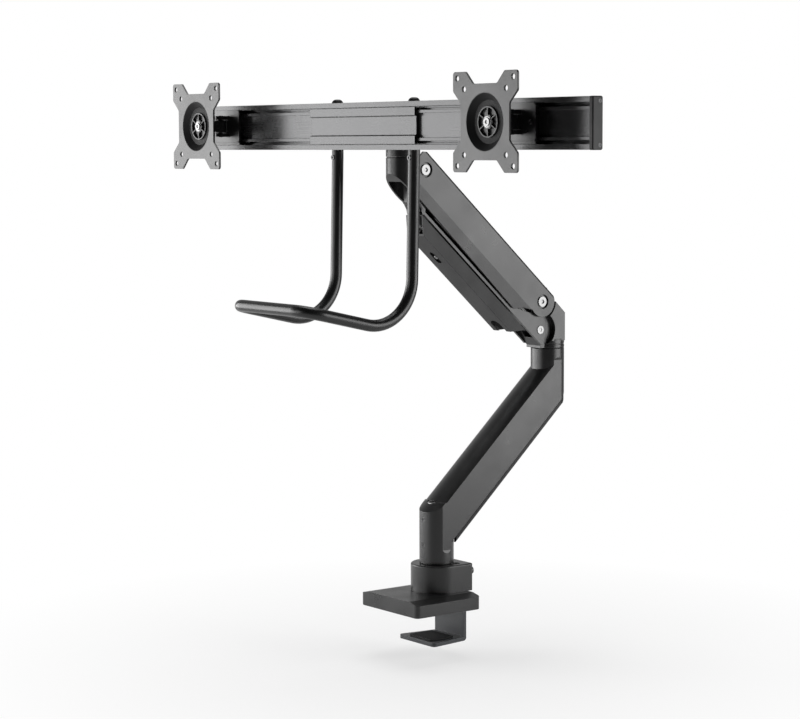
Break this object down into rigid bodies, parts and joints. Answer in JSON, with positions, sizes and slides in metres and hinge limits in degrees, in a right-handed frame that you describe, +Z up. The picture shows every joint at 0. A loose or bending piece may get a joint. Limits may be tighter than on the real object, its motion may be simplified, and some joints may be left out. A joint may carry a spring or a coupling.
{
  "type": "dual monitor arm",
  "caption": "Desk-clamp gas spring monitor arm with a crossbar, sliding tilting screen heads and a bent-tube handle.",
  "frame": {"origin": "on the desk's surface, under the column's swivel axis", "axes": "+X along the crossbar to the user's right, +Y away from the user over the desk's rear edge, +Z up"},
  "size_m": [0.868, 0.4821, 0.7315],
  "materials": {
    "powder_coat": "fine satin black powder coat",
    "bracket_coat": "smooth charcoal coat on sheet steel",
    "plate_coat": "satin black coat on pressed steel",
    "handle_coat": "satin black coat on bent tube",
    "rail_anodised": "black anodised extrusion with drawn lines",
    "black_plastic": "fine moulded grain",
    "hub_plastic": "semi-gloss black",
    "washer_plastic": "black bearing plastic",
    "rubber": "soft black",
    "black_screw": "black oxide",
    "bright_screw": "bright nickel plate",
    "plain_steel": "turned steel",
    "spring_paint": "gloss black tube",
    "spring_chrome": "polished rod"
  },
  "bodies": {
    "clamp_base": {"base_plate": "powder_coat", "base_pad": "rubber", "column_housing": "powder_coat", "column_post": "plain_steel", "column_washer": "washer_plastic", "housing_cover": "black_plastic", "housing_screws": "black_screw"},
    "clamp_lead_screw": {"clamp_screw": "black_screw"},
    "jaw": {"jaw_bracket": "bracket_coat", "jaw_pad": "rubber", "jaw_nut": "plain_steel"},
    "lower_arm": {"lower_casting": "powder_coat", "cable_cover": "black_plastic", "column_set_screws": "black_screw"},
    "elbow": {"knuckle": "powder_coat", "elbow_spindle": "plain_steel", "elbow_washer": "washer_plastic", "spring_anchor": "plain_steel"},
    "upper_arm": {"upper_cover": "powder_coat", "shoulder_pin": "bright_screw", "head_pin": "bright_screw", "spring_cylinder": "spring_paint", "spring_pin": "plain_steel"},
    "gas_spring_rod": {"spring_rod": "spring_chrome"},
    "link": {"lower_link": "powder_coat", "link_cover": "black_plastic", "link_cover_screw": "bright_screw", "link_rear_pin": "bright_screw", "link_front_pin": "bright_screw", "tension_block": "plain_steel"},
    "tension_adjuster": {"tension_screw": "plain_steel"},
    "head": {"head_casting": "powder_coat", "head_spindle": "plain_steel", "head_washer": "washer_plastic"},
    "crossbar": {"bar_bracket": "powder_coat", "rail": "rail_anodised", "centre_cover": "rail_anodised", "end_cap_left": "black_plastic", "end_cap_right": "black_plastic", "end_cap_screws_left": "black_screw", "end_cap_screws_right": "black_screw", "handle": "handle_coat", "handle_caps": "black_plastic", "handle_screws": "black_screw"},
    "slider_left": {"carriage_left": "powder_coat", "carriage_screw_left": "black_screw"},
    "swivel_left": {"swivel_block_left": "powder_coat"},
    "tilt_left": {"tilt_head_left": "powder_coat", "hub_bolt_left": "bright_screw"},
    "screen_left": {"vesa_plate_left": "plate_coat", "hub_insert_left": "hub_plastic"},
    "slider_right": {"carriage_right": "powder_coat", "carriage_screw_right": "black_screw"},
    "swivel_right": {"swivel_block_right": "powder_coat"},
    "tilt_right": {"tilt_head_right": "powder_coat", "hub_bolt_right": "bright_screw"},
    "screen_right": {"vesa_plate_right": "plate_coat", "hub_insert_right": "hub_plastic"}
  },
  "joints": [
    {"name": "jaw_slide", "type": "slide", "parent": "clamp_base", "child": "jaw", "axis": [0, 0, 1], "range_m": [-0.015, 0.025]},
    {"name": "clamp_screw_turn", "type": "hinge", "parent": "clamp_base", "child": "clamp_lead_screw", "pos_m": [0.022, 0.0135, 0.03], "axis": [0, 0, 1], "range_deg": [-1081, 1801]},
    {"name": "base_swivel", "type": "hinge", "parent": "clamp_base", "child": "lower_arm", "pos_m": [0, 0, 0.08], "axis": [0, 0, 1], "range_deg": [-90, 90]},
    {"name": "elbow_swivel", "type": "hinge", "parent": "lower_arm", "child": "elbow", "pos_m": [0, 0.191, 0.33], "axis": [0, 0, 1], "range_deg": [-170, 170]},
    {"name": "shoulder_lift", "type": "hinge", "parent": "elbow", "child": "upper_arm", "pos_m": [0, 0.163, 0.3938], "axis": [1, 0, 0], "range_deg": [-3, 75]},
    {"name": "link_swing", "type": "hinge", "parent": "elbow", "child": "link", "pos_m": [0, 0.163, 0.3558], "axis": [1, 0, 0], "range_deg": [-3.5, 75.5]},
    {"name": "head_level", "type": "hinge", "parent": "upper_arm", "child": "head", "pos_m": [0, -0.03379, 0.57099], "axis": [1, 0, 0], "range_deg": [-75.5, 3.5]},
    {"name": "spring_slide", "type": "slide", "parent": "upper_arm", "child": "gas_spring_rod", "axis": [0, -0.7431, 0.6691], "range_m": [-0.0012, 0.0225]},
    {"name": "tension_turn", "type": "hinge", "parent": "link", "child": "tension_adjuster", "pos_m": [0, -0.02101, 0.48919], "axis": [0, -0.7431, 0.6691], "range_deg": [-180, 180]},
    {"name": "crossbar_swivel", "type": "hinge", "parent": "head", "child": "crossbar", "pos_m": [0, -0.056, 0.6], "axis": [0, 0, 1], "range_deg": [-90, 90]},
    {"name": "carriage_slide_left", "type": "slide", "parent": "crossbar", "child": "slider_left", "axis": [-1, 0, 0], "range_m": [-0.15, 0.08]},
    {"name": "screen_swivel_left", "type": "hinge", "parent": "slider_left", "child": "swivel_left", "pos_m": [-0.3076, -0.1315, 0.6284], "axis": [0, 0, 1], "range_deg": [-30, 30]},
    {"name": "screen_tilt_left", "type": "hinge", "parent": "swivel_left", "child": "tilt_left", "pos_m": [-0.3076, -0.144, 0.6284], "axis": [1, 0, 0], "range_deg": [-30, 30]},
    {"name": "screen_rotate_left", "type": "hinge", "parent": "tilt_left", "child": "screen_left", "pos_m": [-0.3076, -0.165, 0.6284], "axis": [0, 1, 0], "continuous": true},
    {"name": "carriage_slide_right", "type": "slide", "parent": "crossbar", "child": "slider_right", "axis": [1, 0, 0], "range_m": [-0.15, 0.08]},
    {"name": "screen_swivel_right", "type": "hinge", "parent": "slider_right", "child": "swivel_right", "pos_m": [0.3076, -0.1315, 0.6284], "axis": [0, 0, 1], "range_deg": [-30, 30]},
    {"name": "screen_tilt_right", "type": "hinge", "parent": "swivel_right", "child": "tilt_right", "pos_m": [0.3076, -0.144, 0.6284], "axis": [1, 0, 0], "range_deg": [-30, 30]},
    {"name": "screen_rotate_right", "type": "hinge", "parent": "tilt_right", "child": "screen_right", "pos_m": [0.3076, -0.165, 0.6284], "axis": [0, 1, 0], "continuous": true}
  ],
  "couplings": [
    {"joint": "clamp_screw_turn", "follows": "jaw_slide", "rad_per_m": 1256.6},
    {"joint": "link_swing", "follows": "shoulder_lift", "ratio": 1},
    {"joint": "head_level", "follows": "shoulder_lift", "ratio": -1},
    {"joint": "spring_slide", "follows": "shoulder_lift", "m_per_rad": 0.01669}
  ]
}
